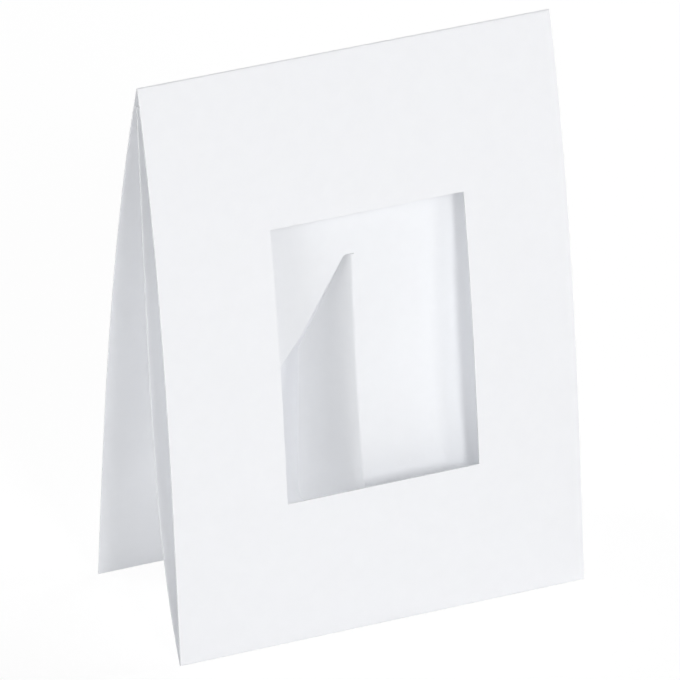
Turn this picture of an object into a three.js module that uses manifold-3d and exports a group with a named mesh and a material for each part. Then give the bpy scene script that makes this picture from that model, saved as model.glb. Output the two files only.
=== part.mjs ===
// A photo frame folded from one die-cut sheet of white card.
// The sheet runs from the foot of the back leaf up over the top crease, down the front panel with its
// window, round the bottom crease, and up behind the window as a liner. A strut cut out of the liner
// is bent back on its score. X is to the right, Y to the back, Z up. Lengths in mm, angles in degrees.
import * as THREE from "three";
import { mergeVertices } from "three/addons/utils/BufferGeometryUtils.js";
import Module from "manifold-3d";

// The sheet
const CARD_WIDTH = 125;
const CARD_THICKNESS = 0.35;
const FRONT_LENGTH = 169.2; // along the card from crease to crease
const BACK_LENGTH = 170.6; // from the top crease to the foot
const CREASE_INNER_RADIUS = 0.1;

// How the card stands: the feet spread, and each leaf is bowed by the turn between its two ends.
// The power says where the turn lies: 1 spreads it evenly, more gathers it at one end.
const FOOT_SPREAD = 58.7;
const FRONT_TURN = 11.6;
const FRONT_TURN_POWER = 1.9;
const BACK_TURN = 13.4;
const BACK_TURN_POWER = 1.75;
const LINER_TURN = 23.2;
const LINER_TURN_POWER = 4;
const LINER_TOP_CLEARANCE = 5; // the liner's top edge hangs free this far below the top crease

// The window in the front panel
const WINDOW_WIDTH = 58.9;
const WINDOW_HEIGHT = 81.1;
const WINDOW_FROM_LEFT = 34.75;
const WINDOW_FROM_CREASE = 41.75; // along the panel from the bottom crease

// The strut, laid out on the flat liner: its score is upright and the strut lies to the left of it
const SCORE_FROM_LEFT = 63.3;
const STRUT_FROM_CREASE = 28;
const STRUT_HEIGHT = 80.8;
const STRUT_WIDTH = 25.4; // from the score to the upper corner of the free edge
const STRUT_FLARE = 4.8; // how much wider the strut is at its foot
const STRUT_TOP_WIDTH = 3.1; // the blunt end above the slanted edge
const STRUT_SLANT = 33; // the slanted edge, from the upright
const STRUT_CORNER_RADIUS = 3;
const STRUT_TIP_RADIUS = 2;
const STRUT_BEND = 72;
const STRUT_BEND_RADIUS = 0.6;
const STRUT_THICKNESS = 0.33;
const STRUT_ROOT = 1; // how far it runs on inside the liner past the score
const CUT_WIDTH = 0.2; // the gap that the die cut leaves round the strut

const CARD_COLOUR = 0xf2f4f7;
const LEAF_STEPS = 24;
const CREASE_STEPS = 8;
const CORNER_STEPS = 4;
const CUT_REACH = 2; // how far the cutters stand out from the middle of the card

const wasm = await Module();
wasm.setup();
const { degToRad } = THREE.MathUtils;

const foldRadius = CREASE_INNER_RADIUS + CARD_THICKNESS / 2; // to the middle of the card
const outerRadius = CREASE_INNER_RADIUS + CARD_THICKNESS;

// Bowed lines in the side view: Vector2 holds (y, z)

// A line of unit length that starts straight up and turns by the given angle in all.
function bowShape(turn, power) {
  const points = [new THREE.Vector2(0, 0)];
  for (let i = 0; i < LEAF_STEPS; i++) {
    const lean = turn * ((i + 0.5) / LEAF_STEPS) ** power;
    const step = new THREE.Vector2(Math.sin(lean), Math.cos(lean)).divideScalar(LEAF_STEPS);
    points.push(points[i].clone().add(step));
  }
  return points;
}

// The shape moved, turned and scaled to run from one point to another.
function span(shape, from, to) {
  const chord = shape.at(-1).clone().sub(shape[0]);
  const wanted = to.clone().sub(from);
  const turn = wanted.angle() - chord.angle();
  const scale = wanted.length() / chord.length();
  return shape.map((p) =>
    p.clone().sub(shape[0]).rotateAround(new THREE.Vector2(), turn).multiplyScalar(scale).add(from));
}

function pointAt(line, t) {
  const place = t * (line.length - 1);
  const i = Math.min(Math.floor(place), line.length - 2);
  return line[i].clone().lerp(line[i + 1], place - i);
}

// The unit normal on the right-hand side of the line, at a fraction of its length.
function normalAt(line, t) {
  const reach = 0.5 / (line.length - 1);
  const ahead = pointAt(line, Math.min(t + reach, 1));
  const along = ahead.sub(pointAt(line, Math.max(t - reach, 0))).normalize();
  return new THREE.Vector2(along.y, -along.x);
}

function offset(line, distance) {
  return line.map((p, i) =>
    p.clone().addScaledVector(normalAt(line, i / (line.length - 1)), distance));
}

// Points anticlockwise round a crease's centre, between two normals, without the two ends.
function creaseArc(centre, radius, fromNormal, toNormal) {
  const start = fromNormal.angle();
  let sweep = toNormal.angle() - start;
  if (sweep < 0) sweep += 2 * Math.PI;
  const points = [];
  for (let i = 1; i < CREASE_STEPS; i++) {
    const angle = start + (sweep * i) / CREASE_STEPS;
    points.push(new THREE.Vector2(Math.cos(angle), Math.sin(angle)).multiplyScalar(radius).add(centre));
  }
  return points;
}

// Where the leaves stand

const frontShape = bowShape(degToRad(FRONT_TURN), FRONT_TURN_POWER);
const backShape = bowShape(-degToRad(BACK_TURN), BACK_TURN_POWER);
const frontChord = FRONT_LENGTH * frontShape.at(-1).length();
const backChord = BACK_LENGTH * backShape.at(-1).length();
const bottomFold = new THREE.Vector2(0, outerRadius);
const backFoot = new THREE.Vector2(FOOT_SPREAD, 0);
const feet = backFoot.clone().sub(bottomFold);
const apexAngle = Math.acos(
  (frontChord ** 2 + feet.lengthSq() - backChord ** 2) / (2 * frontChord * feet.length()));
const topFold = new THREE.Vector2(frontChord, 0)
  .rotateAround(new THREE.Vector2(), apexAngle + feet.angle())
  .add(bottomFold);

// Each line passes through the centres of its creases. The card lies beside it.
const frontLine = span(frontShape, bottomFold, topFold);
const backLine = span(backShape, backFoot, topFold);
const linerShape = bowShape(degToRad(LINER_TURN), LINER_TURN_POWER)
  .map((p, i, all) => p.clone().sub(all.at(-1)).negate())
  .reverse();
const linerHead = topFold.clone().add(new THREE.Vector2(0, -LINER_TOP_CLEARANCE));
const linerLine = span(linerShape, bottomFold, linerHead);
const linerLength = linerLine.reduce((sum, p, i) => sum + (i ? p.distanceTo(linerLine[i - 1]) : 0), 0);

// The outer face of the card is at the outer radius from the lines, the inner face at the inner one.
function face(radius) {
  const back = offset(backLine, radius);
  const front = offset(frontLine, -radius);
  const liner = offset(linerLine, radius);
  return [
    ...back,
    ...creaseArc(topFold, radius, normalAt(backLine, 1), normalAt(frontLine, 1).negate()),
    ...front.reverse(),
    ...creaseArc(bottomFold, radius, normalAt(frontLine, 0).negate(), normalAt(linerLine, 0)),
    ...liner,
  ];
}

// Solids

function solid(geometry) {
  geometry.deleteAttribute("normal");
  geometry.deleteAttribute("uv");
  const merged = mergeVertices(geometry, 1e-4);
  return new wasm.Manifold(new wasm.Mesh({
    numProp: 3,
    vertProperties: merged.attributes.position.array,
    triVerts: new Uint32Array(merged.index.array),
  }));
}

// A side view carried across the card in X. The shape's (y, z) lie in the geometry's (x, y).
function acrossCard(outline, fromX, toX) {
  const shape = new THREE.Shape(outline);
  const geometry = new THREE.ExtrudeGeometry(shape, { depth: toX - fromX, bevelEnabled: false });
  const axes = new THREE.Matrix4().makeBasis(
    new THREE.Vector3(0, 1, 0), new THREE.Vector3(0, 0, 1), new THREE.Vector3(1, 0, 0));
  return solid(geometry.applyMatrix4(axes.setPosition(fromX, 0, 0)));
}

// A grid of points closed into a plate: place(i, j, side) gives the vertex on the side -1 or 1.
function plate(columns, rows, place) {
  const positions = [];
  const index = [];
  const vertex = (i, j, side) => ((side > 0 ? 1 : 0) * columns + i) * rows + j;
  const quad = (a, b, c, d) => index.push(a, b, c, a, c, d);
  const last = rows - 1;
  for (const side of [-1, 1])
    for (let i = 0; i < columns; i++)
      for (let j = 0; j < rows; j++)
        positions.push(...place(i, j, side));
  for (let i = 0; i + 1 < columns; i++) {
    for (let j = 0; j + 1 < rows; j++) {
      quad(vertex(i, j, 1), vertex(i + 1, j, 1), vertex(i + 1, j + 1, 1), vertex(i, j + 1, 1));
      quad(vertex(i, j, -1), vertex(i, j + 1, -1), vertex(i + 1, j + 1, -1), vertex(i + 1, j, -1));
    }
    quad(vertex(i, 0, -1), vertex(i + 1, 0, -1), vertex(i + 1, 0, 1), vertex(i, 0, 1));
    quad(vertex(i, last, 1), vertex(i + 1, last, 1), vertex(i + 1, last, -1), vertex(i, last, -1));
  }
  for (let j = 0; j + 1 < rows; j++) {
    quad(vertex(0, j, -1), vertex(0, j, 1), vertex(0, j + 1, 1), vertex(0, j + 1, -1));
    quad(vertex(columns - 1, j, 1), vertex(columns - 1, j, -1), vertex(columns - 1, j + 1, -1),
      vertex(columns - 1, j + 1, 1));
  }
  const geometry = new THREE.BufferGeometry();
  geometry.setAttribute("position", new THREE.Float32BufferAttribute(positions, 3));
  geometry.setIndex(index);
  return solid(geometry);
}

// The strut and its hole

const strutTop = STRUT_FROM_CREASE + STRUT_HEIGHT;
const slantDrop = (STRUT_WIDTH - STRUT_TOP_WIDTH) / Math.tan(degToRad(STRUT_SLANT));
const cornerHeight = strutTop - slantDrop; // the upper corner of the free edge

// The strut's outline on the flat liner, for a distance from the score.
const tipTurn = Math.PI / 2 - degToRad(STRUT_SLANT);
const tipStart = STRUT_TOP_WIDTH - STRUT_TIP_RADIUS * Math.tan(tipTurn / 2);
const tipEnd = tipStart + STRUT_TIP_RADIUS * Math.sin(tipTurn);
function upperEdge(across) {
  if (across > tipEnd) return strutTop - (across - STRUT_TOP_WIDTH) / Math.tan(degToRad(STRUT_SLANT));
  const into = Math.max(across - tipStart, 0);
  return strutTop - STRUT_TIP_RADIUS + Math.sqrt(STRUT_TIP_RADIUS ** 2 - into ** 2);
}

function lowerEdge(across) {
  const into = Math.max(across - (STRUT_WIDTH - STRUT_CORNER_RADIUS), 0);
  return STRUT_FROM_CREASE + STRUT_CORNER_RADIUS - Math.sqrt(STRUT_CORNER_RADIUS ** 2 - into ** 2);
}

// Distances from the score at which the outline or the bend has a point.
const bendLength = STRUT_BEND_RADIUS * degToRad(STRUT_BEND);
const cornerStart = STRUT_WIDTH - STRUT_CORNER_RADIUS;
const bendColumns = [];
const tipColumns = [tipStart];
const cornerColumns = [];
for (let i = 1; i <= CORNER_STEPS; i++) {
  bendColumns.push(CUT_WIDTH + (bendLength * i) / CORNER_STEPS);
  tipColumns.push(tipStart + ((tipEnd - tipStart) * i) / CORNER_STEPS);
  cornerColumns.push(cornerStart + STRUT_CORNER_RADIUS * Math.sin((Math.PI / 2 / CORNER_STEPS) * i));
}
const strutColumns = [CUT_WIDTH, ...bendColumns, ...tipColumns, cornerStart, ...cornerColumns];

const strutLean = new THREE.Vector2().subVectors(
  pointAt(linerLine, strutTop / linerLength),
  pointAt(linerLine, STRUT_FROM_CREASE / linerLength)).normalize();
const strutNormal = new THREE.Vector2(strutLean.y, -strutLean.x);

// The strut seen along its score: how far left of the score and how far back a point across it lies.
function bendAcross(across, bend) {
  if (across <= CUT_WIDTH) return { left: across, back: 0, angle: 0 };
  const angle = Math.min((across - CUT_WIDTH) / STRUT_BEND_RADIUS, bend);
  const beyond = across - CUT_WIDTH - angle * STRUT_BEND_RADIUS;
  return {
    left: CUT_WIDTH + STRUT_BEND_RADIUS * Math.sin(angle) + beyond * Math.cos(angle),
    back: STRUT_BEND_RADIUS * (1 - Math.cos(angle)) + beyond * Math.sin(angle),
    angle,
  };
}

// A plate of the strut's outline, bent back by the given angle, with a gap left round it.
function strutPlate(columns, bend, halfThickness, gap) {
  return plate(columns.length, LEAF_STEPS + 1, (i, j, side) => {
    const low = lowerEdge(columns[i]) + gap;
    const high = upperEdge(columns[i]) - gap;
    const along = low + ((high - low) * j) / LEAF_STEPS;
    const flare = (STRUT_FLARE * Math.max(cornerHeight - along, 0)) / (cornerHeight - STRUT_FROM_CREASE);
    const across = columns[i] + (Math.max(columns[i], 0) / STRUT_WIDTH) * (flare - gap);
    const { left, back, angle } = bendAcross(across, bend);
    const t = along / linerLength;
    const middle = pointAt(linerLine, t).addScaledVector(normalAt(linerLine, t), foldRadius);
    middle.addScaledVector(bend > 0 ? strutNormal : normalAt(linerLine, t),
      back + side * halfThickness * Math.cos(angle));
    return [SCORE_FROM_LEFT - left + side * halfThickness * Math.sin(angle), middle.x, middle.y];
  });
}

// The folded card

const outline = [...face(outerRadius), ...face(CREASE_INNER_RADIUS).reverse()];
let card = acrossCard(outline, 0, CARD_WIDTH);

// The window's cutter follows the front panel, so the window's edges are square to the card.
const windowLine = [];
for (let i = 0; i <= LEAF_STEPS; i++)
  windowLine.push(pointAt(frontLine, (WINDOW_FROM_CREASE + (WINDOW_HEIGHT * i) / LEAF_STEPS) / FRONT_LENGTH));
card = card.subtract(acrossCard(
  [...offset(windowLine, CUT_REACH), ...offset(windowLine, -CUT_REACH).reverse()],
  WINDOW_FROM_LEFT, WINDOW_FROM_LEFT + WINDOW_WIDTH));

// The hole reaches the score. The strut is a little thinner than the card and is rooted in the liner there.
card = card.subtract(strutPlate([0, ...strutColumns], 0, CUT_REACH, 0));
card = card.add(strutPlate(
  [-STRUT_ROOT, ...strutColumns], degToRad(STRUT_BEND), STRUT_THICKNESS / 2, CUT_WIDTH));

const mesh = card.getMesh();
const geometry = new THREE.BufferGeometry();
geometry.setAttribute("position", new THREE.BufferAttribute(mesh.vertProperties, 3));
geometry.setIndex(new THREE.BufferAttribute(mesh.triVerts, 1));
geometry.computeVertexNormals();
const foldedCard = new THREE.Mesh(geometry, new THREE.MeshStandardMaterial({
  color: CARD_COLOUR,
  roughness: 0.85,
  metalness: 0,
  flatShading: true,
}));
foldedCard.name = "folded_card";

// The origin is on the ground, below the middle of the standing card.
const photoFrame = new THREE.Group();
const box = new THREE.Box3().setFromBufferAttribute(geometry.attributes.position);
const middle = box.getCenter(new THREE.Vector3());
foldedCard.position.set(-middle.x, -middle.y, -box.min.z);
photoFrame.add(foldedCard);

export default photoFrame;
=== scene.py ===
"""A photo frame folded from one die-cut sheet of white card: its surface, light and camera.

The card is laid out flat as a grid with its window, its strut and the cuts round it, folded at the two
creases and the strut's score, and given its thickness. All lengths are in metres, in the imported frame.
"""
import math

import bmesh
import bpy
from mathutils import Matrix, Vector, noise


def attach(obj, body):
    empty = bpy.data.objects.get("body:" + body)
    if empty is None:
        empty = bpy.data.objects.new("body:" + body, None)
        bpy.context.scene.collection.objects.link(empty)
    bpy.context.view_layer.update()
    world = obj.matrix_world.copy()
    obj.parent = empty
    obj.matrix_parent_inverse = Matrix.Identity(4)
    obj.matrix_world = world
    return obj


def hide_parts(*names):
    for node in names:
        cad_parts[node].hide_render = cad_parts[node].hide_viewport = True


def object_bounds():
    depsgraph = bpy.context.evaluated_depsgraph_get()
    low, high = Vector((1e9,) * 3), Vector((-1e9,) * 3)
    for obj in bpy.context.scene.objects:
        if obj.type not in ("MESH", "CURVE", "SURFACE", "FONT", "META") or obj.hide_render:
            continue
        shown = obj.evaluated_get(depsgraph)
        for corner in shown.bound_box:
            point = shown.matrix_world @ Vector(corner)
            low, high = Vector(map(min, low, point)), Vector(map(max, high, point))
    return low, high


MM = 0.001

# The sheet
CARD_WIDTH = 125 * MM
CARD_THICKNESS = 0.35 * MM
FRONT_LENGTH = 169.2 * MM
BACK_LENGTH = 170.6 * MM
CREASE_INNER_RADIUS = 0.1 * MM

# How it stands: the turn of each leaf between its ends, in degrees, and where the turn gathers
FOOT_SPREAD = 58.7 * MM
FRONT_TURN, FRONT_TURN_POWER = 11.6, 1.9
BACK_TURN, BACK_TURN_POWER = 13.4, 1.75
LINER_TURN, LINER_TURN_POWER = 23.2, 4
LINER_TOP_CLEARANCE = 5 * MM

WINDOW_WIDTH = 58.9 * MM
WINDOW_HEIGHT = 81.1 * MM
WINDOW_FROM_LEFT = 34.75 * MM
WINDOW_FROM_CREASE = 41.75 * MM

# The strut on the flat liner
SCORE_FROM_LEFT = 63.3 * MM
STRUT_FROM_CREASE = 28 * MM
STRUT_HEIGHT = 80.8 * MM
STRUT_WIDTH = 25.4 * MM
STRUT_FLARE = 4.8 * MM
STRUT_TOP_WIDTH = 3.1 * MM
STRUT_SLANT = 33
STRUT_CORNER_RADIUS = 3 * MM
STRUT_TIP_RADIUS = 2 * MM
STRUT_BEND = 72
STRUT_BEND_RADIUS = 0.6 * MM
CUT_WIDTH = 0.2 * MM
# The hole's upper edge turns flatter from here to its corner, which lies higher than the strut's corner
HOLE_KINK_FROM_SCORE = 17.5 * MM
HOLE_CORNER_RISE = 2.8 * MM

# The fine surface
LEAF_STEPS = 96
CREASE_STEPS = 12
TIP_STEPS = 5
BEND_STEPS = 5
CORNER_ANGLES = (20, 40, 60, 75, 90)
ROWS_BELOW_HOLE, ROWS_BESIDE_HOLE, ROWS_ABOVE_HOLE = 10, 48, 38
COLUMN_WIDTH = 3 * MM
STRUT_COLUMN_WIDTH = 1.5 * MM
EDGE_ROUNDING = 0.05 * MM
SHARPEST_SMOOTH_ANGLE = 50
WAVE_HEIGHT = 0.1 * MM
WAVE_LENGTH = 70 * MM
WAVE_START = Vector((3.1, 7.7, 0))
# Places closer than this are the same place
SLACK = 1e-7

# Surfaces: name, darkest and lightest tone
SURFACES = (
    ("white_card", (0.895, 0.902, 0.923), (0.905, 0.912, 0.933)),
    ("white_card_reverse", (0.915, 0.926, 0.949), (0.925, 0.936, 0.959)),
    # The cut edge's darker tone is painted shade: it keeps the edge, which faces the lamps on the left,
    # from showing brighter than the shaded faces beside it
    ("card_cut_edge_painted_shade", (0.66, 0.665, 0.675), (0.74, 0.745, 0.755)),
)
FRONT_SIDE, REVERSE_SIDE, CUT_EDGE_PAINTED_SHADE = range(3)
CARD_ROUGHNESS, CARD_SPECULAR = 0.78, 0.28
CLOUDS_PER_METRE, FIBRES_PER_METRE = 260, 2600
CLOUD_DETAIL, FIBRE_DETAIL, FIBRE_ROUGHNESS = 4, 6, 0.6
CLOUD_DARKEST, CLOUD_LIGHTEST = 0.3, 0.7
FIBRE_STRETCH = (1, 1, 0.35)
FIBRE_HEIGHT, FIBRE_STRENGTH = 0.04 * MM, 0.25

# The camera and the light, as angles round the card in degrees and distances from its middle
PICTURE_SIZE = 680
CAMERA_AZIMUTH, CAMERA_ELEVATION = 24.11, 27.25
CAMERA_DISTANCE = 2.7965
CAMERA_AIM = Vector((-0.00160, -0.00298, 0.07746))
CAMERA_CLIP_END = 50
FOCAL_LENGTH_PIXELS = 9960
SENSOR_WIDTH_MM = 36
LAMP_DISTANCE = 3.0
# Name, azimuth (positive to the left of the card's front), elevation, diameter in metres, power in watts
LAMPS = (
    ("front_low", 0, 18, 0.7, 12.4),
    ("front_high", 2, 30, 0.7, 17.2),
    ("front_right", -30, 15, 1.0, 10),
    ("front_left", 60, 12, 1.3, 18),
    ("left", 90, 12, 1.3, 9.4),
    ("right", -90, 12, 1.3, 76),
    ("back_left", 130, 15, 1.3, 39),
    ("back_right", -115, 8, 1.3, 43),
)
SKY_COLOUR = (0.985, 0.992, 1, 1)
SKY_STRENGTH = 0.157
WHITE = (1, 1, 1, 1)

# The floor: half its width, how far it lies below the feet, its own colour, and how bright and how much of
# the camera's view of it is plain white
FLOOR_REACH = 6
FLOOR_DROP = 0.05 * MM
FLOOR_COLOUR = (0.95, 0.95, 0.95, 1)
FLOOR_WHITE_STRENGTH = 1.05
FLOOR_WHITENING = 0.84

bpy.context.scene.view_settings.view_transform = "Standard"
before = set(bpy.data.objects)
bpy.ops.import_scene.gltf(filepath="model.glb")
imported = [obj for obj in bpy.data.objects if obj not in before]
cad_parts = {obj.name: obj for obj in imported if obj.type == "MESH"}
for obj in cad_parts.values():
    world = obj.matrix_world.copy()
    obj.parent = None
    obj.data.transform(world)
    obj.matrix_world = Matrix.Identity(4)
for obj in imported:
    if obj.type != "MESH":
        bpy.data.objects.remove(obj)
cad_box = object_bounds()

fold_radius = CREASE_INNER_RADIUS + CARD_THICKNESS / 2
outer_radius = CREASE_INNER_RADIUS + CARD_THICKNESS


# Bowed lines in the side view: lists of Vector((y, z))

def bow_shape(turn, power):
    """A line of unit length that starts straight up and turns by the given angle in all."""
    points = [Vector((0, 0))]
    for i in range(LEAF_STEPS):
        lean = math.radians(turn) * ((i + 0.5) / LEAF_STEPS) ** power
        points.append(points[-1] + Vector((math.sin(lean), math.cos(lean))) / LEAF_STEPS)
    return points


def span(shape, start, end):
    """The shape moved, turned and scaled to run from one point to another."""
    chord, wanted = shape[-1] - shape[0], end - start
    turn = math.atan2(wanted.y, wanted.x) - math.atan2(chord.y, chord.x)
    rotate = Matrix.Rotation(turn, 2)
    return [start + rotate @ (p - shape[0]) * (wanted.length / chord.length) for p in shape]


def point_at(line, t):
    """The point at a fraction of the line's length."""
    place = t * (len(line) - 1)
    i = min(int(place), len(line) - 2)
    return line[i].lerp(line[i + 1], place - i)


def normal_at(line, t):
    """The unit normal on the right-hand side of the line, at a fraction of its length."""
    reach = 0.5 / (len(line) - 1)
    along = (point_at(line, min(t + reach, 1)) - point_at(line, max(t - reach, 0))).normalized()
    return Vector((along.y, -along.x))


def length_of(line):
    return sum((b - a).length for a, b in zip(line, line[1:]))


def smoothstep(low, high, value):
    t = min(max((value - low) / (high - low), 0), 1)
    return t * t * (3 - 2 * t)


# Where the leaves stand

front_shape = bow_shape(FRONT_TURN, FRONT_TURN_POWER)
back_shape = bow_shape(-BACK_TURN, BACK_TURN_POWER)
front_chord = FRONT_LENGTH * front_shape[-1].length
back_chord = BACK_LENGTH * back_shape[-1].length
bottom_fold = Vector((0, outer_radius))
back_foot = Vector((FOOT_SPREAD, 0))
feet = back_foot - bottom_fold
apex_angle = math.acos(
    (front_chord**2 + feet.length_squared - back_chord**2) / (2 * front_chord * feet.length))
apex_angle += math.atan2(feet.y, feet.x)
top_fold = bottom_fold + front_chord * Vector((math.cos(apex_angle), math.sin(apex_angle)))

front_line = span(front_shape, bottom_fold, top_fold)
back_line = span(back_shape, back_foot, top_fold)
liner_shape = bow_shape(LINER_TURN, LINER_TURN_POWER)
liner_shape = [liner_shape[-1] - p for p in reversed(liner_shape)]
liner_line = span(liner_shape, bottom_fold, top_fold - Vector((0, LINER_TOP_CLEARANCE)))
liner_length = length_of(liner_line)

# The CAD part's origin is below the middle of the card, so the rest of the script works from its corner.
corner = Vector((cad_box[0][0], cad_box[1][1] - (back_foot + normal_at(back_line, 0) * outer_radius).x, 0))


# The folded strip: its rows run over the back leaf, the top crease, the front panel, the bottom crease
# and the liner. Each row starts with the middle of the card and its outward normal.

def leaf_row(line, t, side):
    normal = normal_at(line, t) * side
    return point_at(line, t) + normal * fold_radius, normal


def crease_rows(centre, start_normal, end_normal):
    start = math.atan2(start_normal.y, start_normal.x)
    sweep = (math.atan2(end_normal.y, end_normal.x) - start) % (2 * math.pi)
    rows = []
    for i in range(1, CREASE_STEPS):
        angle = start + sweep * i / CREASE_STEPS
        normal = Vector((math.cos(angle), math.sin(angle)))
        rows.append((centre + normal * fold_radius, normal))
    return rows


# The strut's outline on the flat liner

strut_top = STRUT_FROM_CREASE + STRUT_HEIGHT
slant = math.tan(math.radians(STRUT_SLANT))
corner_height = strut_top - (STRUT_WIDTH - STRUT_TOP_WIDTH) / slant
strut_lean = (point_at(liner_line, strut_top / liner_length)
              - point_at(liner_line, STRUT_FROM_CREASE / liner_length)).normalized()
strut_normal = Vector((strut_lean.y, -strut_lean.x))
tip_turn = math.radians(90 - STRUT_SLANT)
tip_start = STRUT_TOP_WIDTH - STRUT_TIP_RADIUS * math.tan(tip_turn / 2)
tip_end = tip_start + STRUT_TIP_RADIUS * math.sin(tip_turn)
corner_start = STRUT_WIDTH - STRUT_CORNER_RADIUS


def upper_edge(across):
    """The height of the strut's slanted top at a distance from the score, both on the flat liner."""
    across = min(max(across, 0), STRUT_WIDTH)
    if across > tip_end:
        return strut_top - (across - STRUT_TOP_WIDTH) / slant
    into = max(across - tip_start, 0)
    return strut_top - STRUT_TIP_RADIUS + math.sqrt(STRUT_TIP_RADIUS**2 - into**2)


def lower_edge(across):
    """The height of the strut's foot, which rises at its rounded corner."""
    into = min(max(across - corner_start, 0), STRUT_CORNER_RADIUS)
    return STRUT_FROM_CREASE + STRUT_CORNER_RADIUS - math.sqrt(STRUT_CORNER_RADIUS**2 - into**2)


def hole_top(across):
    """The height of the hole's upper edge."""
    beyond = min(across, STRUT_WIDTH) - HOLE_KINK_FROM_SCORE
    return upper_edge(across) + HOLE_CORNER_RISE * max(beyond, 0) / (STRUT_WIDTH - HOLE_KINK_FROM_SCORE)


def flare_at(along):
    """How much wider than its upper corner the strut is at a height, fading out towards the crease."""
    widest = STRUT_FLARE * max(corner_height - max(along, STRUT_FROM_CREASE), 0) / (
        corner_height - STRUT_FROM_CREASE)
    return widest * smoothstep(0, STRUT_FROM_CREASE, along)


def spread(stops, step):
    """Values from the first stop to the last that include every stop, no further apart than the step."""
    values = [stops[0]]
    for a, b in zip(stops, stops[1:]):
        count = max(math.ceil(abs(b - a) / step), 1)
        values += [a + (b - a) * i / count for i in range(1, count + 1)]
    return values


corner_stops = [corner_start + STRUT_CORNER_RADIUS * math.sin(math.radians(a)) for a in CORNER_ANGLES]
tip_stops = [tip_start + (tip_end - tip_start) * i / TIP_STEPS for i in range(TIP_STEPS + 1)]
# Distances from the score, positive to the left, on which the grid has a column
column_stops = sorted([
    SCORE_FROM_LEFT, SCORE_FROM_LEFT - WINDOW_FROM_LEFT, *corner_stops, corner_start, *tip_stops, 0,
    SCORE_FROM_LEFT - WINDOW_FROM_LEFT - WINDOW_WIDTH, SCORE_FROM_LEFT - CARD_WIDTH], reverse=True)
columns = spread(column_stops, COLUMN_WIDTH)
hole_columns = [i for i, across in enumerate(columns) if 0 <= across <= STRUT_WIDTH + SLACK]


def wave(x, along):
    """The card's slight waviness, before it dies away at the creases."""
    place = Vector((x, along, 0)) / WAVE_LENGTH
    return WAVE_HEIGHT * noise.noise(place + WAVE_START)


def liner_wave(x, along):
    """The liner's waviness, which dies away at the bottom crease only, because its top edge is free."""
    return wave(x, 2 * FRONT_LENGTH + along) * math.sin(math.pi / 2 * along / liner_length)


mesh = bmesh.new()
vertex_normals = {}


def add_vertex(x, point, normal):
    vertex = mesh.verts.new((corner.x + x, corner.y + point.x, corner.z + point.y))
    vertex_normals[vertex] = Vector((0, normal.x, normal.y))
    return vertex


# Each row: middle of the card, outward normal, length from the back leaf's foot, name of the leaf, and the
# fraction of the leaf's height
rows = []
back_rows = [i / LEAF_STEPS for i in range(LEAF_STEPS + 1)]
window_bottom = WINDOW_FROM_CREASE / FRONT_LENGTH
window_top = (WINDOW_FROM_CREASE + WINDOW_HEIGHT) / FRONT_LENGTH
front_rows = spread([1, window_top, window_bottom, 0], 1 / LEAF_STEPS)
for t in back_rows:
    rows.append((*leaf_row(back_line, t, 1), t * BACK_LENGTH, "back", t))
for point, normal in crease_rows(top_fold, normal_at(back_line, 1), -normal_at(front_line, 1)):
    rows.append((point, normal, BACK_LENGTH, "crease", 0))
for t in front_rows:
    rows.append((*leaf_row(front_line, t, -1), BACK_LENGTH + (1 - t) * FRONT_LENGTH, "front", t))
for point, normal in crease_rows(bottom_fold, -normal_at(front_line, 0), normal_at(liner_line, 0)):
    rows.append((point, normal, BACK_LENGTH + FRONT_LENGTH, "crease", 0))

grid = []
for point, normal, along, leaf, t in rows:
    swing = math.sin(math.pi * t)
    line = []
    for across in columns:
        x = SCORE_FROM_LEFT - across
        line.append(add_vertex(x, point + normal * wave(x, along) * swing, normal))
    grid.append(line)


def in_window(row, column):
    if row + 1 >= len(rows) or rows[row][3] != "front" or rows[row + 1][3] != "front":
        return False
    if rows[row][4] > window_top + SLACK or rows[row + 1][4] < window_bottom - SLACK:
        return False
    x0, x1 = SCORE_FROM_LEFT - columns[column], SCORE_FROM_LEFT - columns[column + 1]
    return x0 > WINDOW_FROM_LEFT - SLACK and x1 < WINDOW_FROM_LEFT + WINDOW_WIDTH + SLACK


liner_start = len(grid)
hole_rows_end = ROWS_BELOW_HOLE + ROWS_BESIDE_HOLE


def liner_height(across, row):
    """The height of a grid row on the flat liner: the rows follow the hole's lower and upper edge."""
    low, high = lower_edge(across), hole_top(across)
    if row <= ROWS_BELOW_HOLE:
        return low * row / ROWS_BELOW_HOLE
    if row <= hole_rows_end:
        return low + (high - low) * (row - ROWS_BELOW_HOLE) / ROWS_BESIDE_HOLE
    return high + (liner_length - high) * (row - hole_rows_end) / ROWS_ABOVE_HOLE


def widened(across, along):
    """A column's distance from the score at a height: the columns lean out with the strut's free edge."""
    if across <= 0:
        return across
    if across <= STRUT_WIDTH:
        return across + flare_at(along) * across / STRUT_WIDTH
    return across + flare_at(along) * (SCORE_FROM_LEFT - across) / (SCORE_FROM_LEFT - STRUT_WIDTH)


for row in range(hole_rows_end + ROWS_ABOVE_HOLE + 1):
    line = []
    for across in columns:
        along = liner_height(across, row)
        point, normal = leaf_row(liner_line, along / liner_length, 1)
        x = SCORE_FROM_LEFT - widened(across, along)
        line.append(add_vertex(x, point + normal * liner_wave(x, along), normal))
    grid.append(line)


def in_hole(row, column):
    if not ROWS_BELOW_HOLE <= row - liner_start < hole_rows_end:
        return False
    return column in hole_columns and column + 1 in hole_columns


for row in range(len(grid) - 1):
    for column in range(len(columns) - 1):
        if in_window(row, column) or in_hole(row, column):
            continue
        lower, upper = grid[row], grid[row + 1]
        mesh.faces.new((lower[column], lower[column + 1], upper[column + 1], upper[column]))

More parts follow.
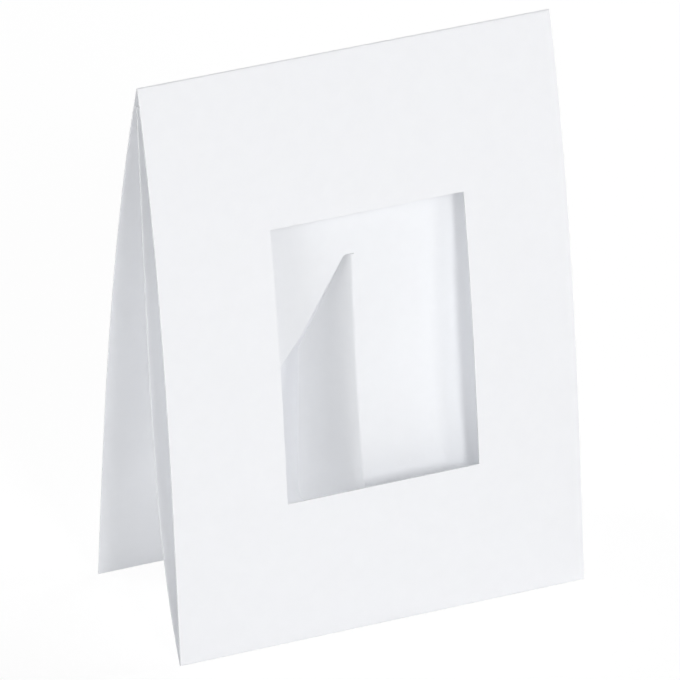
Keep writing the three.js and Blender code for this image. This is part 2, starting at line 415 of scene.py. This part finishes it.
# The strut hangs on the liner's own vertices along the score.
score_column = columns.index(0)
score = [grid[liner_start + row][score_column] for row in range(ROWS_BELOW_HOLE, hole_rows_end + 1)]
bend = math.radians(STRUT_BEND)
bend_stops = [CUT_WIDTH + STRUT_BEND_RADIUS * bend * i / BEND_STEPS for i in range(BEND_STEPS + 1)]
strut_columns = spread([*bend_stops, *tip_stops, corner_start], STRUT_COLUMN_WIDTH) + corner_stops
previous = score
for across in strut_columns:
    line = []
    low, high = lower_edge(across) + CUT_WIDTH, upper_edge(across) - CUT_WIDTH
    for row in range(len(score)):
        along = low + (high - low) * row / (len(score) - 1)
        wide = across + (flare_at(along) - CUT_WIDTH) * across / STRUT_WIDTH
        angle = min((wide - CUT_WIDTH) / STRUT_BEND_RADIUS, bend) if wide > CUT_WIDTH else 0
        beyond = wide - CUT_WIDTH - angle * STRUT_BEND_RADIUS
        left = CUT_WIDTH + STRUT_BEND_RADIUS * math.sin(angle) + beyond * math.cos(angle)
        back = STRUT_BEND_RADIUS * (1 - math.cos(angle)) + beyond * math.sin(angle)
        point, normal = leaf_row(liner_line, along / liner_length, 1)
        point += strut_normal * (back + liner_wave(SCORE_FROM_LEFT, along))
        vertex = add_vertex(SCORE_FROM_LEFT - left, point, strut_normal)
        vertex_normals[vertex] = Vector(
            (math.sin(angle), math.cos(angle) * strut_normal.x, math.cos(angle) * strut_normal.y))
        line.append(vertex)
    for row in range(len(score) - 1):
        mesh.faces.new((line[row], previous[row], previous[row + 1], line[row + 1]))
    previous = line

# The card's thickness: two faces and a slightly rounded cut edge
mesh.normal_update()
middle_faces = list(mesh.faces)
outer, inner, rim = {}, {}, {}
edge_outward = {}
for edge in mesh.edges:
    if len(edge.link_faces) != 1:
        continue
    face = edge.link_faces[0]
    a, b = edge.verts
    normal = (vertex_normals[a] + vertex_normals[b]).normalized()
    outward = (b.co - a.co).normalized().cross(normal)
    if outward.dot(face.calc_center_median() - a.co) > 0:
        outward.negate()
    for vertex in (a, b):
        edge_outward[vertex] = edge_outward.get(vertex, Vector()) + outward
middle_vertices = list(mesh.verts)
for vertex in middle_vertices:
    if not vertex.link_faces:
        continue
    place, normal = vertex.co.copy(), vertex_normals[vertex]
    if vertex in edge_outward:
        rim[vertex] = mesh.verts.new(place)
        place -= edge_outward[vertex].normalized() * EDGE_ROUNDING
    outer[vertex] = mesh.verts.new(place + normal * CARD_THICKNESS / 2)
    inner[vertex] = mesh.verts.new(place - normal * CARD_THICKNESS / 2)
for face in middle_faces:
    corners = list(face.verts)
    if face.normal.dot(vertex_normals[corners[0]]) < 0:
        corners.reverse()
    mesh.faces.new([outer[v] for v in corners]).material_index = FRONT_SIDE
    mesh.faces.new([inner[v] for v in reversed(corners)]).material_index = REVERSE_SIDE
    for a, b in zip(corners, corners[1:] + corners[:1]):
        edge = next(e for e in a.link_edges if b in e.verts)
        if len(edge.link_faces) == 1 and a in rim and b in rim:
            # The rounded cut edge takes the darker tone of painted shade
            mesh.faces.new((outer[b], outer[a], rim[a], rim[b])).material_index = CUT_EDGE_PAINTED_SHADE
            mesh.faces.new((rim[b], rim[a], inner[a], inner[b])).material_index = CUT_EDGE_PAINTED_SHADE
bmesh.ops.delete(mesh, geom=middle_vertices, context="VERTS")
for face in mesh.faces:
    face.smooth = True
card_mesh = bpy.data.meshes.new("folded_card_sheet")
mesh.to_mesh(card_mesh)
mesh.free()
card = bpy.data.objects.new("folded_card_sheet", card_mesh)
bpy.context.scene.collection.objects.link(card)
card_mesh.set_sharp_from_angle(angle=math.radians(SHARPEST_SMOOTH_ANGLE))
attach(card, "root")
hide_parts("folded_card")


# Materials

def new_material(name):
    material = bpy.data.materials.new(name)
    material.use_nodes = True
    nodes = material.node_tree.nodes
    nodes.clear()
    return material, nodes, material.node_tree.links


def white_card(name, darkest, lightest):
    """Smooth white card: faint cloudy formation, a fine fibre grain, almost no gloss."""
    material, nodes, links = new_material(name)
    output = nodes.new("ShaderNodeOutputMaterial")
    shader = nodes.new("ShaderNodeBsdfPrincipled")
    shader.inputs["Roughness"].default_value = CARD_ROUGHNESS
    shader.inputs["Specular IOR Level"].default_value = CARD_SPECULAR
    place = nodes.new("ShaderNodeTexCoord")
    cloud = nodes.new("ShaderNodeTexNoise")
    cloud.inputs["Scale"].default_value = CLOUDS_PER_METRE
    cloud.inputs["Detail"].default_value = CLOUD_DETAIL
    tint = nodes.new("ShaderNodeValToRGB")
    tint.color_ramp.elements[0].position = CLOUD_DARKEST
    tint.color_ramp.elements[0].color = (*darkest, 1)
    tint.color_ramp.elements[1].position = CLOUD_LIGHTEST
    tint.color_ramp.elements[1].color = (*lightest, 1)
    stretch = nodes.new("ShaderNodeMapping")
    stretch.inputs["Scale"].default_value = FIBRE_STRETCH
    fibre = nodes.new("ShaderNodeTexNoise")
    fibre.inputs["Scale"].default_value = FIBRES_PER_METRE
    fibre.inputs["Detail"].default_value = FIBRE_DETAIL
    fibre.inputs["Roughness"].default_value = FIBRE_ROUGHNESS
    bump = nodes.new("ShaderNodeBump")
    bump.inputs["Strength"].default_value = FIBRE_STRENGTH
    bump.inputs["Distance"].default_value = FIBRE_HEIGHT
    links.new(place.outputs["Object"], cloud.inputs["Vector"])
    links.new(place.outputs["Object"], stretch.inputs["Vector"])
    links.new(stretch.outputs["Vector"], fibre.inputs["Vector"])
    links.new(cloud.outputs["Fac"], tint.inputs["Fac"])
    links.new(tint.outputs["Color"], shader.inputs["Base Color"])
    links.new(fibre.outputs["Fac"], bump.inputs["Height"])
    links.new(bump.outputs["Normal"], shader.inputs["Normal"])
    links.new(shader.outputs["BSDF"], output.inputs["Surface"])
    return material


def seen_directly(nodes, links):
    """1 for what the camera sees, straight or in a gloss or through glass, and 0 for the light it sheds."""
    path = nodes.new("ShaderNodeLightPath")
    total = path.outputs["Is Camera Ray"]
    for name in ("Is Glossy Ray", "Is Transmission Ray"):
        larger = nodes.new("ShaderNodeMath")
        larger.operation = "MAXIMUM"
        links.new(total, larger.inputs[0])
        links.new(path.outputs[name], larger.inputs[1])
        total = larger.outputs["Value"]
    return total


def pale_floor():
    """A matt white floor that looks nearly pure white, and keeps a faint shadow of the card."""
    material, nodes, links = new_material("floor")
    output = nodes.new("ShaderNodeOutputMaterial")
    matt = nodes.new("ShaderNodeBsdfDiffuse")
    matt.inputs["Color"].default_value = FLOOR_COLOUR
    white = nodes.new("ShaderNodeEmission")
    seen = nodes.new("ShaderNodeMixShader")
    white.inputs["Strength"].default_value = FLOOR_WHITE_STRENGTH
    seen.inputs["Fac"].default_value = FLOOR_WHITENING
    choose = nodes.new("ShaderNodeMixShader")
    links.new(matt.outputs["BSDF"], seen.inputs[1])
    links.new(white.outputs["Emission"], seen.inputs[2])
    links.new(seen_directly(nodes, links), choose.inputs["Fac"])
    links.new(matt.outputs["BSDF"], choose.inputs[1])
    links.new(seen.outputs["Shader"], choose.inputs[2])
    links.new(choose.outputs["Shader"], output.inputs["Surface"])
    return material


for surface in SURFACES:
    card_mesh.materials.append(white_card(*surface))


# Floor, sky, lamps and camera

floor_mesh = bpy.data.meshes.new("floor")
floor_corners = [(x * FLOOR_REACH, y * FLOOR_REACH, 0) for x, y in ((-1, -1), (1, -1), (1, 1), (-1, 1))]
floor_mesh.from_pydata(floor_corners, [], [(0, 1, 2, 3)])
floor_mesh.materials.append(pale_floor())
floor = bpy.data.objects.new("floor", floor_mesh)
floor.location.z = -FLOOR_DROP
bpy.context.scene.collection.objects.link(floor)

world = bpy.data.worlds.new("sky")
bpy.context.scene.world = world
world.use_nodes = True
sky_nodes, sky_links = world.node_tree.nodes, world.node_tree.links
sky = sky_nodes["Background"]
sky.inputs["Color"].default_value = SKY_COLOUR
sky.inputs["Strength"].default_value = SKY_STRENGTH
backdrop = sky_nodes.new("ShaderNodeBackground")
backdrop.inputs["Color"].default_value = WHITE
choose = sky_nodes.new("ShaderNodeMixShader")
sky_links.new(seen_directly(sky_nodes, sky_links), choose.inputs["Fac"])
sky_links.new(sky.outputs["Background"], choose.inputs[1])
sky_links.new(backdrop.outputs["Background"], choose.inputs[2])
sky_links.new(choose.outputs["Shader"], sky_nodes["World Output"].inputs["Surface"])


def direction(azimuth, elevation):
    """From the card towards a place in front of it and to its left."""
    a, e = math.radians(azimuth), math.radians(elevation)
    return Vector((-math.sin(a) * math.cos(e), -math.cos(a) * math.cos(e), math.sin(e)))


def aim(thing, place, target):
    thing.location = place
    thing.rotation_euler = (target - place).to_track_quat("-Z", "Y").to_euler()


card_middle = Vector((0, 0, (cad_box[0][2] + cad_box[1][2]) / 2))
for name, azimuth, elevation, size, power in LAMPS:
    light = bpy.data.lights.new(name, "AREA")
    light.shape = "DISK"
    light.size = size
    light.energy = power
    lamp = bpy.data.objects.new(name, light)
    aim(lamp, card_middle + direction(azimuth, elevation) * LAMP_DISTANCE, card_middle)
    bpy.context.scene.collection.objects.link(lamp)

camera_data = bpy.data.cameras.new("camera")
camera_data.sensor_width = SENSOR_WIDTH_MM
camera_data.lens = SENSOR_WIDTH_MM * FOCAL_LENGTH_PIXELS / PICTURE_SIZE
camera_data.clip_end = CAMERA_CLIP_END
camera = bpy.data.objects.new("camera", camera_data)
aim(camera, CAMERA_AIM + direction(CAMERA_AZIMUTH, CAMERA_ELEVATION) * CAMERA_DISTANCE, CAMERA_AIM)
bpy.context.scene.collection.objects.link(camera)
bpy.context.scene.camera = camera
